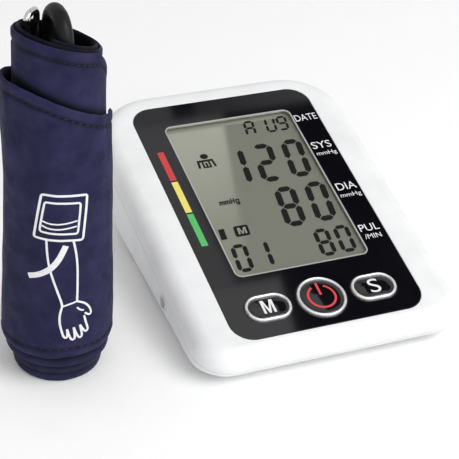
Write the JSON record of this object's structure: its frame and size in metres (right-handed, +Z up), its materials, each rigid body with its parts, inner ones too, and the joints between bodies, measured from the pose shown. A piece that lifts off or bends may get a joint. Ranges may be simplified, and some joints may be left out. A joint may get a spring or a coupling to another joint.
{
  "type": "upper arm blood pressure monitor",
  "caption": "Upper arm blood pressure monitor: a wedge-shaped white housing with a black face, large display and round keys, beside a rolled navy arm cuff with its air hose.",
  "frame": {"origin": "on the table, under the middle of the whole set: the monitor stands to the right and the rolled cuff to the left", "axes": "+X to the user's right, +Y away from the user, +Z up"},
  "size_m": [0.175, 0.1439, 0.1455],
  "materials": {
    "housing_white": "smooth satin white ABS",
    "faceplate_black": "high gloss black acrylic",
    "window_clear": "clear acrylic window",
    "bezel_grey": "light grey, satin",
    "lcd_grey_green": "grey-green reflective display",
    "silicone_pink": "soft",
    "board_green": "solder resist",
    "chip_black": "moulded epoxy",
    "sensor_metal": "satin",
    "key_black": "glossy black",
    "key_chrome": "bright plated",
    "plunger_cream": "moulded",
    "motor_steel": "zinc plated",
    "magnet_grey": "sintered ferrite",
    "rotor_copper": "copper winding",
    "pump_black": "moulded",
    "valve_cream": "moulded nylon",
    "bright_steel": "bright zinc",
    "socket_white": "moulded",
    "silicone_clear": "milky silicone",
    "cell_wrap": "printed film over steel, no marks",
    "contact_nickel": "nickel plated",
    "rubber_dark": "matt",
    "cuff_navy": "navy woven nylon, hemmed and stitched",
    "bladder_black": "matt",
    "hook_black": "hook tape",
    "ring_steel": "polished steel wire",
    "hose_black": "smooth rubber hose, satin",
    "plug_black": "moulded, ribbed"
  },
  "bodies": {
    "monitor": {"top_shell": "housing_white", "bottom_shell": "housing_white", "faceplate": "faceplate_black", "display_window": "window_clear", "lcd_bezel": "bezel_grey", "lcd_glass": "lcd_grey_green", "lcd_connector": "silicone_pink", "main_board": "board_green", "board_chips": "chip_black", "pressure_sensor": "sensor_metal", "buzzer": "chip_black", "switch_m": "chip_black", "switch_power": "chip_black", "switch_s": "chip_black", "pump_motor_case": "motor_steel", "pump_magnet": "magnet_grey", "pump_head": "pump_black", "valve_body": "valve_cream", "air_socket": "socket_white", "air_manifold": "valve_cream", "air_tubes": "silicone_clear", "power_jack": "pump_black", "battery_1": "cell_wrap", "battery_2": "cell_wrap", "battery_3": "cell_wrap", "battery_4": "cell_wrap", "battery_contacts": "contact_nickel", "rubber_feet": "rubber_dark", "housing_screws": "bright_steel", "board_screws": "bright_steel"},
    "key_m": {"key_m_cap": "key_black", "key_m_ring": "key_chrome", "key_m_plunger": "plunger_cream"},
    "key_power": {"key_power_cap": "key_black", "key_power_ring": "key_chrome", "key_power_plunger": "plunger_cream"},
    "key_s": {"key_s_cap": "key_black", "key_s_ring": "key_chrome", "key_s_plunger": "plunger_cream"},
    "door": {"battery_door": "housing_white"},
    "rotor": {"pump_rotor": "rotor_copper"},
    "valve_pin": {"valve_plunger": "bright_steel"},
    "cuff": {"cuff_inner_wrap": "cuff_navy", "cuff_outer_wrap": "cuff_navy", "cuff_bladder": "bladder_black", "cuff_hook_patch": "hook_black", "cuff_bar_ring": "ring_steel", "hose_port": "hose_black", "cuff_hose": "hose_black", "hose_plug": "plug_black"}
  },
  "joints": [
    {"name": "key_m_press", "type": "slide", "parent": "monitor", "child": "key_m", "axis": [0, 0.2079, -0.9781], "range_m": [0, 0.0006], "stiffness_N_per_m": 800},
    {"name": "key_power_press", "type": "slide", "parent": "monitor", "child": "key_power", "axis": [0, 0.2079, -0.9781], "range_m": [0, 0.0006], "stiffness_N_per_m": 800},
    {"name": "key_s_press", "type": "slide", "parent": "monitor", "child": "key_s", "axis": [0, 0.2079, -0.9781], "range_m": [0, 0.0006], "stiffness_N_per_m": 800},
    {"name": "battery_door_hinge", "type": "hinge", "parent": "monitor", "child": "door", "pos_m": [0.032, 0.0287, 0.0023], "axis": [1, 0, 0], "range_deg": [0, 75]},
    {"name": "pump_spin", "type": "hinge", "parent": "monitor", "child": "rotor", "pos_m": [0.037, 0.034, 0.0142], "axis": [1, 0, 0], "continuous": true},
    {"name": "valve_pull", "type": "slide", "parent": "monitor", "child": "valve_pin", "axis": [0, -1, 0], "range_m": [0, 0.001], "stiffness_N_per_m": 300},
    {"name": "cuff_lift", "type": "slide", "parent": "monitor", "child": "cuff", "axis": [0, 0, 1], "range_m": [0, 0.2]}
  ]
}
